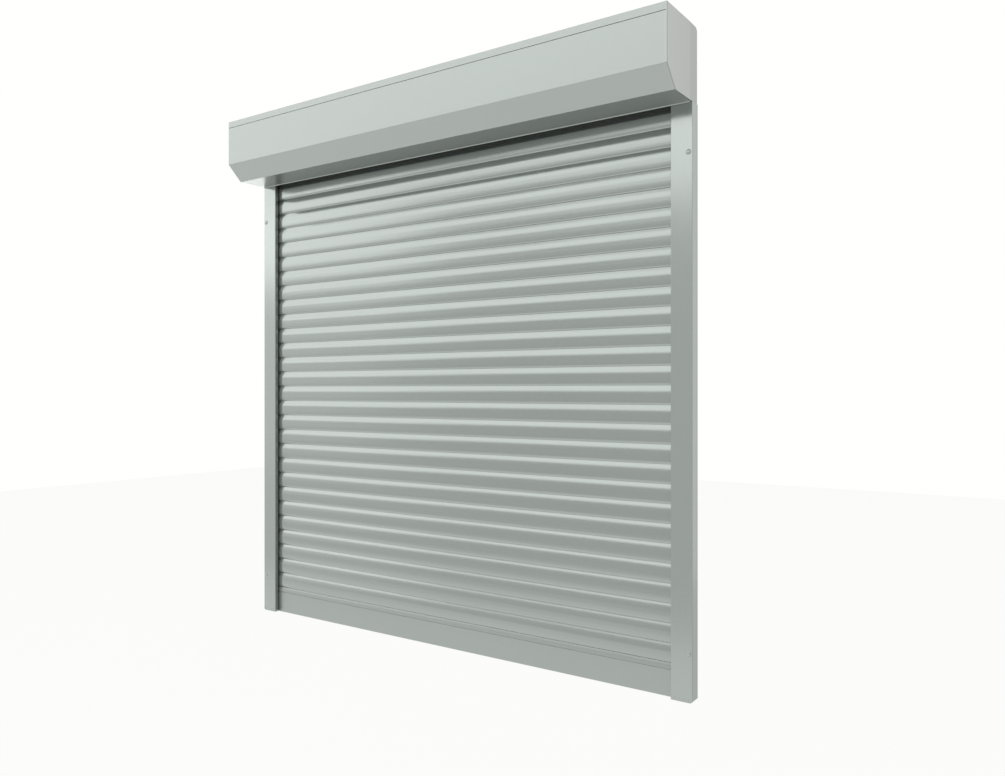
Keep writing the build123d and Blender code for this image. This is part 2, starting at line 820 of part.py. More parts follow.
def motor_bracket():
    """The steel plate on the right end cap, with a square socket for the motor's head."""
    plate = block(
        (bracket_inner_x, cap_inner_x),
        (roller_y - bracket_half, roller_y + bracket_half),
        (roller_z - bracket_half, roller_z + bracket_half),
    )
    plate = fillet(plate.edges().filter_by(Axis.X), bracket_round)
    inner_end = bracket_inner_x - socket_depth
    plate += square_bar(spigot_half + socket_wall, inner_end, bracket_inner_x)
    plate -= square_bar(spigot_half + fit_gap, inner_end - past, bracket_inner_x)
    for y, z in bracket_screw_places():
        plate -= rod(screw_shank + fit_gap, (bracket_inner_x - past, y, z), (cap_inner_x + past, y, z))
    return plate


def square_bar(half, x_from, x_to):
    """A square bar on the roller's axis."""
    return block((x_from, x_to), (roller_y - half, roller_y + half), (roller_z - half, roller_z + half))


def pan_screw(x, y, z, inwards, length):
    """A pan-head screw driven along X, with its head on the inner side."""
    head = rod(pan_head, (x, y, z), (x + pan_height * inwards, y, z))
    rim = head.edges().filter_by(GeomType.CIRCLE).sort_by(Axis.X)[0 if inwards < 0 else -1]
    return fillet(rim, pan_round) + rod(screw_shank, (x - length * inwards, y, z), (x, y, z))


def bracket_screws():
    """The screws that hold the motor bracket and the bearing cup to the end caps."""
    into_cap = cap_plate - cap_skin - lap
    right_length, left_length = bracket_plate + into_cap, cup_flange_sheet + into_cap
    left_face = cup_flange_sheet - cap_inner_x
    right = [pan_screw(bracket_inner_x, y, z, -1, right_length) for y, z in bracket_screw_places()]
    left = [pan_screw(left_face, y, z, 1, left_length) for y, z in bearing_screw_places()]
    return Compound(children=right + left)


def motor_head():
    """The fixed head of the tubular motor, with a square spigot, two setting screws and a cable socket."""
    left = roller_right_x + motor_head_gap
    right = bracket_inner_x - socket_depth - slide_gap
    head = across_axis(motor_head_radius, left, right)
    head = fillet(head.edges().filter_by(GeomType.CIRCLE), motor_head_round)
    head += square_bar(spigot_half, right - past, bracket_inner_x - past)
    z = roller_z - setting_screw_drop
    for y in (roller_y - setting_screw_spread, roller_y + setting_screw_spread):
        head -= rod(setting_screw_radius, (right - setting_screw_depth, y, z), (right + past, y, z))
    x, y, top = (left + right) / 2, roller_y, roller_z + motor_head_radius
    return head - rod(lead_socket_radius, (x, y, top - lead_socket_depth), (x, y, top + past))


def motor_tube():
    """The fixed body of the tubular motor, inside the roller."""
    body = across_axis(motor_radius, motor_left_x, roller_right_x + motor_head_gap - fit_gap)
    shaft_end = motor_left_x - 2 * drive_wheel_gap - drive_wheel_length
    shaft = across_axis(motor_shaft_radius, shaft_end, motor_left_x)
    return fillet(body.edges().filter_by(GeomType.CIRCLE).sort_by(Axis.X)[0], motor_round) + shaft


def motor_crown():
    """The ring that takes the tube's end and turns the limit switches."""
    left, flange_x = roller_right_x - crown_length, roller_right_x + crown_flange
    ring = along_x(tube_fill(), left, flange_x)
    ring += along_x(octagon(roller_flats - roller_wall), roller_right_x + fit_gap, flange_x)
    return ring - across_axis(motor_radius + slide_gap, left - past, flange_x + past)


def drive_wheel():
    """The wheel on the motor's shaft that drives the tube, lightened by four holes."""
    right = motor_left_x - drive_wheel_gap
    left = right - drive_wheel_length
    wheel = along_x(tube_fill(), left, right)
    ring = (motor_shaft_radius + roller_flats / 2) / 2
    for k in range(4):
        turn = math.pi / 4 + k * math.pi / 2
        y, z = roller_y + ring * math.cos(turn), roller_z + ring * math.sin(turn)
        wheel -= rod(drive_wheel_hole, (left - past, y, z), (right + past, y, z))
    return wheel - across_axis(motor_shaft_radius + fit_gap, left - past, right + past)


def strap_path():
    """The straps' path from behind the top slat up to the roller's back."""
    back = slat_back_y + slide_gap + strap_sheet / 2
    tube_back = roller_y + roller_flats / 2 + fit_gap + strap_sheet / 2
    top_slat = end_slat_height + slat_count * slat_pitch
    return [
        (back, top_slat - strap_below_slat_top),
        (back, top_slat + strap_above_slat_top),
        (tube_back, roller_z - 2 * clip_below_axis),
        (tube_back, roller_z + clip_above_axis - fit_gap),
    ]


def hanger_straps():
    """Four spring-steel straps that hang the top slat from the roller."""
    path = FilletPolyline(strap_path(), radius=strap_bend)
    section = side_plane * trace(path, strap_sheet)
    return Compound(
        children=[along_x(section, x - strap_width / 2, x + strap_width / 2) for x in strap_positions]
    )


def strap_clips():
    """The clips that hook each strap to the roller tube."""
    flat_y = roller_y + roller_flats / 2 + fit_gap
    y_low = strap_path()[-1][0] + strap_sheet / 2 + fit_gap
    z_low, z_high = roller_z - clip_below_axis, roller_z + clip_above_axis
    leg_z = (z_low + clip_leg_margin, z_high - clip_leg_margin)
    clips = []
    for x in strap_positions:
        clip = block((x - clip_half, x + clip_half), (y_low, y_low + clip_sheet), (z_low, z_high))
        clip = fillet(clip.edges().filter_by(Axis.Y), clip_round)
        for side in (-1, 1):
            leg_x = x + side * (strap_width / 2 + clip_leg)
            leg_range = (leg_x - clip_leg / 2, leg_x + clip_leg / 2)
            clip += block(leg_range, (flat_y, y_low + clip_sheet / 2), leg_z)
        clips.append(clip)
    return Compound(children=clips)


def grommet_at(y):
    """A point on the axis of the lead's inlet."""
    return grommet_x, y, grommet_z


def cable_grommet():
    """The rubber inlet for the motor's supply lead, in the back of the box."""
    inside = wall_y - sheet
    flange_start = inside - fit_gap - grommet_flange_sheet
    body = rod(grommet_radius - fit_gap, grommet_at(inside - past), grommet_at(wall_y))
    body += rod(grommet_radius + grommet_flange, grommet_at(flange_start), grommet_at(inside - fit_gap))
    return body - rod(cable_radius, grommet_at(flange_start - past), grommet_at(wall_y + past))


outer_ring, inner_ring = bearing_rings()
cap_right = end_cap(bracket_screw_places())
cap_left = mirrored(end_cap(bearing_screw_places()))
rail_right = guide_rail_right()
funnel_right = rail_funnel_right()

parts = {
    "hood_back_shell": hood_back_shell(),
    "hood_front_cover": hood_front_cover(),
    "hood_screws": hood_screws(),
    "cover_screws": cover_screws(),
    "end_cap_right": cap_right,
    "end_cap_left": cap_left,
    "guide_rail_right": rail_right,
    "guide_rail_left": mirrored(rail_right),
    "rail_seals": rail_seals(),
    "rail_feet": rail_feet(),
    "rail_plugs": rail_plugs(),
    "rail_funnel_right": funnel_right,
    "rail_funnel_left": mirrored(funnel_right),
    "end_slat": end_slat(),
    "end_slat_seal": end_slat_seal(),
    "end_slat_caps": end_slat_caps(),
    "roller_tube": roller_tube(),
    "tube_end_plug": tube_end_plug(),
    "idler_pin": idler_pin(),
    "bearing_outer_ring": outer_ring,
    "bearing_inner_ring": inner_ring,
    "bearing_balls": bearing_balls(),
    "bearing_holder": bearing_holder(),
    "motor_bracket": motor_bracket(),
    "bracket_screws": bracket_screws(),
    "motor_head": motor_head(),
    "motor_tube": motor_tube(),
    "motor_crown": motor_crown(),
    "drive_wheel": drive_wheel(),
    "hanger_straps": hanger_straps(),
    "strap_clips": strap_clips(),
    "cable_grommet": cable_grommet(),
}
first_slat = slat(1)
for number in range(1, slat_count + 1):
    parts[f"slat_{number:02d}"] = first_slat.moved(Location((0, 0, (number - 1) * slat_pitch)))

os.makedirs("parts", exist_ok=True)
for name, shape in parts.items():
    export_step(shape, f"parts/{name}.step")
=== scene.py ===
import json
import math
import random

import bmesh
import bpy
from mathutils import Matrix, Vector


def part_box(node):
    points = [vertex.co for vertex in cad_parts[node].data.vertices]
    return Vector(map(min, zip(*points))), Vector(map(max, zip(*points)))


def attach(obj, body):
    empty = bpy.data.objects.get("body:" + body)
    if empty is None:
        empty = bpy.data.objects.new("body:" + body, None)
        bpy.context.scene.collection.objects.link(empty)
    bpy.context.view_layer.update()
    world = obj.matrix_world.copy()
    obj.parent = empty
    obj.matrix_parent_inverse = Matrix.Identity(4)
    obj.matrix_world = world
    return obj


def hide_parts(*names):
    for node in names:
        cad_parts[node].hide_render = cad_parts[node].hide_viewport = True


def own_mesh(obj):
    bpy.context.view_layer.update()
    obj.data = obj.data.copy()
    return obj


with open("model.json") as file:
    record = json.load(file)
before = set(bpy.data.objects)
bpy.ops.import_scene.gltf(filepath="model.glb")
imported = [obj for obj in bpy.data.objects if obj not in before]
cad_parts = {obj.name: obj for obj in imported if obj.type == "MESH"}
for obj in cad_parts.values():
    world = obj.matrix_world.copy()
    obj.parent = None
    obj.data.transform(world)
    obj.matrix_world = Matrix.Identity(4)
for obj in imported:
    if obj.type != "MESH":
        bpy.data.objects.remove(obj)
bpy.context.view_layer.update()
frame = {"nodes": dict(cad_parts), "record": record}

bl_info = {
    "name": "Exterior Roller Shutter",
    "version": (1, 0, 0),
    "blender": (4, 5, 0),
    "location": "View3D > Sidebar > Shutter",
    "description": "Dresses a roller shutter with its coated sheets, slats, rails and drive",
    "category": "Add Mesh",
}

# A millimetre in the scene's metres
mm = 0.001

# How close two points count as one, in millimetres, and two faces as one plane, in degrees
same_place = 0.001
same_plane = 0.8

# The slat's profile, in millimetres and degrees. The face curls in at its bottom edge. The shoulder
# curves back up to a lean, and then stands up again towards its neck.
curl_depth = 2.3
curl_height = 5.0
belly_lean = 4.0
belly_middle = 15.0
shoulder_start = 20.0
shoulder_turn = 35.5
shoulder_lean = 18.5
slat_pitch = 39.0
slat_wall = 0.8
shoulder_gap = 0.2
back_skirt = 1.2
neck_offset = 3.5
neck_slope = 2.2
hook_claw = 1.6
hook_thickness = 1.0
joint_play = 0.4
catch_height = 1.9
web_height = 6.6

# The end slat's profile
end_slat_height = 66.5
end_slat_face = 53.0
end_slat_shoulder = 1.9
groove_height = 2.2
groove_depth = 1.4
seal_slot_half = 1.6
seal_slot_depth = 5.0
slot_edge = 0.2
face_edge = 0.4
bar_edge = 0.9
rib_count = 3
rib_depth = 0.6

# How far in from the outside of an end cap its edges are rounded
cap_outer_zone = 1.6

# The rail plugs, with a flange under the head and a hollow skirt
plug_radius = 5.4
plug_flange = 1.2
plug_skirt = 4.75
plug_bore = 3.55
plug_bore_end = 1.8

# The brush strips, each a backing with two rows of bristles that end just short of the slats
strip_width = 5.4
strip_backing = 0.8
slat_clearance = 0.3
row_half = 0.7
row_shift = 0.2
row_gather = 0.6
bristle_below = 0.8
bristle_above = 0.9
bristle_lean = 0.4
strip_margin = 0.2

# The bearing
ball_count = 8

# The straps: a straight end on the curtain, a slanting middle and a straight end on the roller
strap_places = (-450, -150, 150, 450)
strap_half_width = 11
strap_half = 0.5
strap_low_end = 34.0
strap_high_end = 27.0
strap_bend = 12.0

# The power per square metre at which a softbox is as bright as the white background
white_power = 4

# The floor: half its side in metres, and the share of its look that is plain white and has no shadow
floor_half = 12.0
glow_share = 0.92

# The camera, fitted to the photo: sensor and lens in millimetres, upward shift as a share of the width,
# place in metres, and turn from square in degrees
camera_sensor = 36.0
camera_lens = 30.6
camera_shift = 0.0014
camera_place = (1.255, -1.509, 0.604)
camera_turn = 34.76

# A noise keeps mostly to the first range, and two noises added up to the second
noise_range = (0.3, 0.7)
pair_range = (0.65, 1.35)
bump_strength = 0.6


# Colour and nodes


def linear(code):
    """A hex colour as written for screens, turned to linear RGB with full alpha."""
    values = [int(code[k : k + 2], 16) / 255 for k in (1, 3, 5)]
    return [v / 12.92 if v <= 0.04045 else ((v + 0.055) / 1.055) ** 2.4 for v in values] + [1.0]


def add_node(tree, kind, inputs=None, links=None, **settings):
    """Adds one node with its settings, its plain input values and its links."""
    node = tree.nodes.new(kind)
    for name, value in settings.items():
        setattr(node, name, value)
    for name, value in (inputs or {}).items():
        node.inputs[name].default_value = value
    for name, socket in (links or {}).items():
        tree.links.new(socket, node.inputs[name])
    return node


def new_material(name):
    """An empty node material, its tree and the object coordinates that its patterns use."""
    material = bpy.data.materials.new(name)
    material.use_nodes = True
    tree = material.node_tree
    tree.nodes.clear()
    return material, tree, add_node(tree, "ShaderNodeTexCoord").outputs["Object"]


def finish(
    name, colour, metallic, roughness, grain, shade, relief, drawn=(1, 1, 1), cloud=180, cells=False, **more
):
    """
    A surface finish with a grain in its colour, gloss and relief, and broad soft clouds in its colour.
    Grain, relief and cloud are sizes in millimetres, and shade is the share by which the colour varies.
    The grain is drawn out along an axis where drawn is below 1. With cells, each grain is a crystal with
    its own shade.
    """
    material, tree, place = new_material(name)
    scale = [s / (grain * mm) for s in drawn]
    scaled = add_node(tree, "ShaderNodeMapping", {"Scale": scale}, {"Vector": place}).outputs[0]
    if cells:
        crystals = add_node(tree, "ShaderNodeTexVoronoi", {"Scale": 1.0}, {"Vector": scaled}, feature="F1")
        split = add_node(tree, "ShaderNodeSeparateColor", links={"Color": crystals.outputs["Color"]})
        fine = split.outputs[0]
    else:
        noise = add_node(tree, "ShaderNodeTexNoise", {"Scale": 1.0, "Detail": 3.0}, {"Vector": scaled})
        fine = noise.outputs["Fac"]
    broad_scale = [s / (cloud * mm) for s in drawn]
    broad = add_node(tree, "ShaderNodeMapping", {"Scale": broad_scale}, {"Vector": place}).outputs[0]
    clouds = add_node(tree, "ShaderNodeTexNoise", {"Scale": 1.0, "Detail": 2.0}, {"Vector": broad})
    both = add_node(
        tree,
        "ShaderNodeMath",
        links={0: fine, 1: clouds.outputs["Fac"]},
        operation="ADD",
    )
    factor = add_node(
        tree,
        "ShaderNodeMapRange",
        {"From Min": pair_range[0], "From Max": pair_range[1]},
        {"Value": both.outputs[0]},
    )
    dark = [c * (1 - shade) for c in colour[:3]] + [1.0]
    light = [min(1.0, c * (1 + shade)) for c in colour[:3]] + [1.0]
    tint = add_node(
        tree,
        "ShaderNodeMix",
        {6: dark, 7: light},
        {0: factor.outputs["Result"]},
        data_type="RGBA",
        clamp_factor=True,
    )
    gloss = add_node(
        tree,
        "ShaderNodeMapRange",
        {
            "From Min": noise_range[0],
            "From Max": noise_range[1],
            "To Min": roughness[0],
            "To Max": roughness[1],
        },
        {"Value": fine},
    )
    bump = add_node(
        tree,
        "ShaderNodeBump",
        {"Strength": bump_strength, "Distance": relief * mm},
        {"Height": fine},
    )
    shader = add_node(
        tree,
        "ShaderNodeBsdfPrincipled",
        {"Metallic": metallic, **more},
        {
            "Base Color": tint.outputs[2],
            "Roughness": gloss.outputs["Result"],
            "Normal": bump.outputs["Normal"],
        },
    )
    add_node(tree, "ShaderNodeOutputMaterial", links={"Surface": shader.outputs["BSDF"]})
    return material


# Materials


def coated_finishes(colours):
    """
    The coats of the sheets and extrusions, by the slot that each belongs to. Metal flakes in them mirror
    the room softly. Their grain is drawn coarser than the real flakes, so that it shows.
    """
    return {
        # Roll-formed aluminium with a silver coil coat: smooth, with the grain drawn out by the rolls
        "slat_coating": finish(
            "silver_coil_coat_on_slats",
            colours.slat_colour,
            metallic=0.75,
            roughness=(0.19, 0.23),
            grain=2.5,
            shade=0.02,
            relief=0.003,
            drawn=(0.2, 1, 1),
            cloud=90,
        ),
        # Extruded aluminium in a silver powder coat, a little duller than the slats
        "bar_coating": finish(
            "silver_powder_coat_on_end_slat",
            colours.bar_colour,
            metallic=0.7,
            roughness=(0.29, 0.34),
            grain=2.5,
            shade=0.012,
            relief=0.012,
            drawn=(0.3, 1, 1),
            cloud=120,
        ),
        # Folded aluminium sheet with a silver coil coat: very even, with the long clouds of rolled sheet
        "box_coating": finish(
            "silver_coil_coat_on_box_sheet",
            colours.box_colour,
            metallic=0.62,
            roughness=(0.29, 0.34),
            grain=4.0,
            shade=0.01,
            relief=0.012,
            drawn=(0.4, 1, 1),
            cloud=260,
        ),
        # Die-cast ends in a sprayed and baked powder coat that has flowed nearly flat
        "cap_coating": finish(
            "silver_powder_coat_on_castings",
            colours.cap_colour,
            metallic=0.6,
            roughness=(0.18, 0.24),
            grain=2.2,
            shade=0.01,
            relief=0.003,
            cloud=90,
        ),
        # Extruded rails in powder coat, with faint die lines along their length
        "rail_coating": finish(
            "silver_powder_coat_on_rails",
            colours.rail_colour,
            metallic=0.75,
            roughness=(0.15, 0.19),
            grain=2.5,
            shade=0.01,
            relief=0.003,
            drawn=(1, 1, 0.06),
            cloud=60,
        ),
    }


def moulded_finishes(colours):
    """The plastics and rubbers. Their texture is drawn coarser than the real one, so that it shows."""
    return {
        # Injection-moulded polyamide with aluminium flakes in it, so that it nearly matches the coats
        "grey_plastic": finish(
            "moulded_silver_polyamide",
            colours.plug_colour,
            metallic=0.5,
            roughness=(0.22, 0.3),
            grain=1.2,
            shade=0.02,
            relief=0.006,
            IOR=1.53,
        ),
        # The same plastic in black, for the gliders, inlets and drive wheels: half glossy, with no flakes
        "black_plastic": finish(
            "moulded_black_polyamide",
            linear("#26282A"),
            metallic=0.0,
            roughness=(0.38, 0.5),
            grain=1.2,
            shade=0.08,
            relief=0.03,
            IOR=1.53,
        ),
        # Extruded EPDM rubber: nearly matt, with drawn lines along its length
        "black_rubber": finish(
            "extruded_epdm_rubber",
            linear("#1C1D1E"),
            metallic=0.0,
            roughness=(0.7, 0.85),
            grain=0.8,
            shade=0.12,
            relief=0.05,
            drawn=(0.02, 1, 1),
            IOR=1.52,
        ),
        # Polypropylene pile: matt fibres of slightly different greys
        "brush_pile": finish(
            "polypropylene_brush_pile",
            linear("#8E9192"),
            metallic=0.0,
            roughness=(0.75, 0.92),
            grain=1.0,
            shade=0.25,
            relief=0.2,
            drawn=(0.12, 0.12, 1),
            IOR=1.49,
        ),
    }


def steel_finishes():
    """The bare and plated steels of the drive. Their fine lines are drawn coarser than the real ones."""
    along_roller, along_strap = (0.05, 1, 1), (1, 0.05, 0.05)
    return {
        # Hot-dip galvanised sheet: pale and dark zinc crystals about 9 mm across
        "zinc_steel": finish(
            "galvanised_steel_sheet",
            linear("#B9BCBD"),
            metallic=1.0,
            roughness=(0.34, 0.5),
            grain=9.0,
            shade=0.14,
            relief=0.01,
            cells=True,
        ),
        # Ground bearing steel: bright, with fine lines along the roller
        "bright_steel": finish(
            "ground_bearing_steel",
            linear("#C4C3C0"),
            metallic=1.0,
            roughness=(0.16, 0.28),
            grain=0.6,
            shade=0.08,
            relief=0.01,
            drawn=along_roller,
        ),
        # Tempered spring strip, blued by its heat treatment, with rolling lines along the strap
        "spring_steel": finish(
            "blued_spring_steel",
            linear("#8C9094"),
            metallic=1.0,
            roughness=(0.24, 0.36),
            grain=0.6,
            shade=0.1,
            relief=0.01,
            drawn=along_strap,
        ),
        # Drawn steel tube in a thin grey lacquer, which dulls the lines of the drawing
        "motor_body": finish(
            "lacquered_motor_tube",
            linear("#8E9193"),
            metallic=0.8,
            roughness=(0.34, 0.46),
            grain=0.7,
            shade=0.06,
            relief=0.01,
            drawn=along_roller,
        ),
    }


def finish_of(slot):
    """The material of a slot, made on first use."""
    scene = bpy.context.scene
    names = scene.get("shutter_materials")
    if not names:
        colours = scene.shutter_finish
        made = {**coated_finishes(colours), **moulded_finishes(colours), **steel_finishes()}
        names = {key: material.name for key, material in made.items()}
        scene["shutter_materials"] = names
    return bpy.data.materials[names[slot]]


# Mesh helpers


def mesh_piece(name, node, bm, smooth_angle=32.0):
    """An object from finished geometry that stands for a node, on its body and with its finish."""
    bmesh.ops.recalc_face_normals(bm, faces=bm.faces[:])
    mesh = bpy.data.meshes.new(name)
    bm.to_mesh(mesh)
    bm.free()
    slot = slot_of(node)
    mesh.materials.append(finish_of(slot))
    mesh.shade_smooth()
    mesh.set_sharp_from_angle(angle=math.radians(smooth_angle))
    piece = bpy.data.objects.new(name, mesh)
    bpy.context.scene.collection.objects.link(piece)
    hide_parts(node)
    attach(piece, body_of(node))
    return piece


def flat_shading(piece):
    """Keeps wide flat faces flat to the light beside their small rounded edges."""
    weighted = piece.modifiers.new("flat_faces", "WEIGHTED_NORMAL")
    weighted.keep_sharp = True
    return piece


def body_of(node):
    """The body that carries a node."""
    for name, nodes in frame["record"]["behaviour"]["bodies"].items():
        if node in nodes:
            return name
    raise ValueError(f"No body carries {node}")


def slot_of(node):
    """The finish slot of a node."""
    for subpart in frame["record"]["subparts"]:
        if subpart["node"] == node:
            return subpart["material_slot"]
    raise ValueError(f"No finish slot is given for {node}")


def arc_between(centre, first, last, steps):
    """Points on the shorter arc about a centre, from first to last."""
    start = math.atan2(first[1] - centre[1], first[0] - centre[0])
    sweep = math.atan2(last[1] - centre[1], last[0] - centre[0]) - start
    sweep = (sweep + math.pi) % (2 * math.pi) - math.pi
    radius = math.dist(first, centre)
    turns = [start + sweep * k / steps for k in range(steps + 1)]
    return [(centre[0] + radius * math.cos(t), centre[1] + radius * math.sin(t)) for t in turns]


def tangent_arc(first, last, heading, steps):
    """Points on the arc that leaves the first place at a heading in degrees and ends at the last."""
    across = Vector((-math.sin(math.radians(heading)), math.cos(math.radians(heading))))
    chord = Vector(last) - Vector(first)
    radius = chord.length_squared / (2 * chord.dot(across))
    return arc_between(tuple(Vector(first) + across * radius), first, last, steps)


def rounded_outline(corners, steps=4):
    """Points round corners (y, z, radius), open at the end, with an arc where a corner has a radius."""
    points = []
    for k, (y, z, radius) in enumerate(corners):
        if not radius:
            points.append((y, z))
            continue
        here = Vector((y, z))
        before = (Vector(corners[k - 1][:2]) - here).normalized()
        after = (Vector(corners[(k + 1) % len(corners)][:2]) - here).normalized()
        half = before.angle(after) / 2
        reach = radius / math.tan(half)
        centre = here + (before + after).normalized() * radius / math.sin(half)
        first, last = tuple(here + before * reach), tuple(here + after * reach)
        points += arc_between(tuple(centre), first, last, steps)
    return points


def extrude_along(bm, outline, x_from, x_to):
    """Adds a closed Y-Z outline in millimetres pushed along X, with both ends closed."""
    start = bm.faces.new([bm.verts.new((x_from, y * mm, z * mm)) for y, z in outline])
    grown = bmesh.ops.extrude_face_region(bm, geom=[start])
    moved = [v for v in grown["geom"] if isinstance(v, bmesh.types.BMVert)]
    bmesh.ops.translate(bm, verts=moved, vec=(x_to - x_from, 0, 0))


def turned(bm, centre, profile, segments=32):
    """Adds a body turned about a line along Y. The profile is (radius, y) in millimetres, axis to axis."""
    rings = []
    for radius, y in profile:
        count = segments if radius else 1
        turns = [2 * math.pi * k / segments for k in range(count)]
        rings.append(
            [
                bm.verts.new(Vector(centre) + mm * Vector((radius * math.cos(t), y, radius * math.sin(t))))
                for t in turns
            ]
        )
    for low, high in zip(rings, rings[1:]):
        for k in range(segments):
            below = [low[k % len(low)], low[(k + 1) % len(low)]]
            above = [high[(k + 1) % len(high)], high[k % len(high)]]
            bm.faces.new(list(dict.fromkeys(below + above)))


def softened(node, width, angle=32.0, segments=2, where=None):
    """
    A node's solid again, with its flat faces joined up and its hard edges rounded by a width. Hard edges
    turn by more than the angle in degrees, and where picks among them by their middle.
    """
    if node not in frame["nodes"]:
        raise ValueError(f"The frame holds no {node}")
    bm = bmesh.new()
    bm.from_mesh(frame["nodes"][node].data)
    bmesh.ops.remove_doubles(bm, verts=bm.verts[:], dist=same_place * mm)
    bmesh.ops.dissolve_limit(
        bm,
        angle_limit=math.radians(same_plane),
        verts=bm.verts[:],
        edges=bm.edges[:],
        use_dissolve_boundaries=False,
    )
    layer = bm.edges.layers.float.new("bevel_weight_edge")
    for edge in bm.edges:
        middle = (edge.verts[0].co + edge.verts[1].co) / 2
        hard = len(edge.link_faces) == 2 and edge.calc_face_angle(0.0) > math.radians(angle)
        edge[layer] = 1.0 if hard and (where is None or where(middle)) else 0.0
    piece = mesh_piece(node + "_finished", node, bm, angle)
    bevel = piece.modifiers.new("eased_edges", "BEVEL")
    bevel.width = width
    bevel.segments = segments
    bevel.limit_method = "WEIGHT"
    bevel.use_clamp_overlap = True
    return flat_shading(piece)


# Settings


class ShutterFinish(bpy.types.PropertyGroup):
    """Colours of the coated parts."""

    slat_colour: bpy.props.FloatVectorProperty(
        name="Slats",
        description="Coat of the slats",
        subtype="COLOR",
        size=4,
        default=linear("#939996"),
    )
    bar_colour: bpy.props.FloatVectorProperty(
        name="End slat",
        description="Coat of the bottom bar",
        subtype="COLOR",
        size=4,
        default=linear("#959B98"),
    )
    box_colour: bpy.props.FloatVectorProperty(
        name="Box",
        description="Coat of the box sheets",
        subtype="COLOR",
        size=4,
        default=linear("#999F9C"),
    )
    cap_colour: bpy.props.FloatVectorProperty(
        name="End caps",
        description="Coat of the box ends",
        subtype="COLOR",
        size=4,
        default=linear("#9CA09D"),
    )
    rail_colour: bpy.props.FloatVectorProperty(
        name="Rails",
        description="Coat of the guide rails",
        subtype="COLOR",
        size=4,
        default=linear("#989E9B"),
    )
    plug_colour: bpy.props.FloatVectorProperty(
        name="Plugs",
        description="Plastic of the plugs and feet",
        subtype="COLOR",
        size=4,
        default=linear("#9CA29F"),
    )


class ShutterSizes(bpy.types.PropertyGroup):
    """Sizes of the fine shapes."""

    sheet_edge: bpy.props.FloatProperty(
        name="Sheet edge", description="Rounding of a cut sheet edge", unit="LENGTH", default=0.2 * mm
    )
    cast_edge: bpy.props.FloatProperty(
        name="Cast edge", description="Rounding of a die-cast edge", unit="LENGTH", default=1.4 * mm
    )
    moulded_edge: bpy.props.FloatProperty(
        name="Moulded edge",
        description="Rounding of a moulded or turned edge",
        unit="LENGTH",
        default=0.3 * mm,
    )
    plug_dome: bpy.props.FloatProperty(
        name="Plug dome",
        description="How far a rail plug's head stands out at its middle",
        unit="LENGTH",
        default=2 * mm,
    )
    bristle_pitch: bpy.props.FloatProperty(
        name="Bristle pitch",
        description="Space from one bristle to the next",
        unit="LENGTH",
        default=2 * mm,
    )


class ShutterStage(bpy.types.PropertyGroup):
    """Floor and lights. A light's level is what it adds to the white background, which is 1."""

    floor_drop: bpy.props.FloatProperty(
        name="Sill height",
        description="Height of the rail feet above the floor",
        unit="LENGTH",
        default=0.9,
    )
    front_level: bpy.props.FloatProperty(
        name="Front light", description="Level of the front softbox", default=1.04
    )
    top_level: bpy.props.FloatProperty(
        name="Top light", description="Level of the overhead softbox", default=1.1
    )
    left_level: bpy.props.FloatProperty(
        name="Left light", description="Level of the left softbox", default=0.3
    )
    right_level: bpy.props.FloatProperty(
        name="Right light", description="Level of the right softbox", default=0.6
    )
    back_level: bpy.props.FloatProperty(
        name="Back light", description="Level of the back softbox", default=0.55
    )
    low_level: bpy.props.FloatProperty(
        name="Low light", description="Level of the light on the floor", default=0.36
    )
    low_left_level: bpy.props.FloatProperty(
        name="Low left light", description="Level of the light on the floor at the left", default=0.15
    )
    low_back_level: bpy.props.FloatProperty(
        name="Low back light", description="Level of the light on the floor behind", default=1.6
    )
    sky_level: bpy.props.FloatProperty(
        name="Surroundings", description="Level of the plain light", default=0.5
    )


# Curtain


def hook_points(neck, neck_z, top):
    """The neck and the forward-bent hook above a slat, from its shoulder round to its back."""
    return [
        (neck, neck_z),
        (neck, top - hook_thickness),
        (neck - hook_claw, top - hook_thickness),
        (neck - hook_claw, top),
        (neck + slat_wall, top),
        (neck + slat_wall, neck_z),
    ]


def slat_outline(low, high):
    """One slat's outline: bowed face, shoulder, neck and hook, back, and the pocket for the next hook."""
    front, back, top = low.y / mm, high.y / mm, high.z / mm
    bottom = low.z / mm + back_skirt
    neck, neck_z = front + neck_offset, bottom + slat_pitch - shoulder_gap
    bow = (belly_middle - curl_height) * math.tan(math.radians(belly_lean / 2))
    turn = (front + bow, bottom + curl_height)
    curl = tangent_arc(turn, (front + curl_depth, bottom), belly_lean - 90, steps=8)[::-1]
    belly = tangent_arc(turn, (front, bottom + belly_middle), 90 + belly_lean, steps=6)
    set_back = (shoulder_turn - shoulder_start) * math.tan(math.radians(shoulder_lean / 2))
    bend = (front + set_back, bottom + shoulder_turn)
    shoulder = tangent_arc((front, bottom + shoulder_start), bend, 90, steps=12)
    shoulder += tangent_arc(bend, (neck, neck_z), 90 - shoulder_lean, steps=6)[1:]
    catch, inside = neck - joint_play, front + bow + slat_wall
    pocket = [
        (back, neck_z - neck_slope),
        (back, bottom - back_skirt),
        (back - slat_wall, bottom - back_skirt),
        (back - slat_wall, bottom + web_height),
        (inside, bottom + web_height),
        (inside, bottom + slat_wall + catch_height),
        (catch, bottom + slat_wall + catch_height),
        (catch, bottom),
    ]
    return curl + belly[1:] + shoulder[:-1] + hook_points(neck, neck_z, top) + pocket


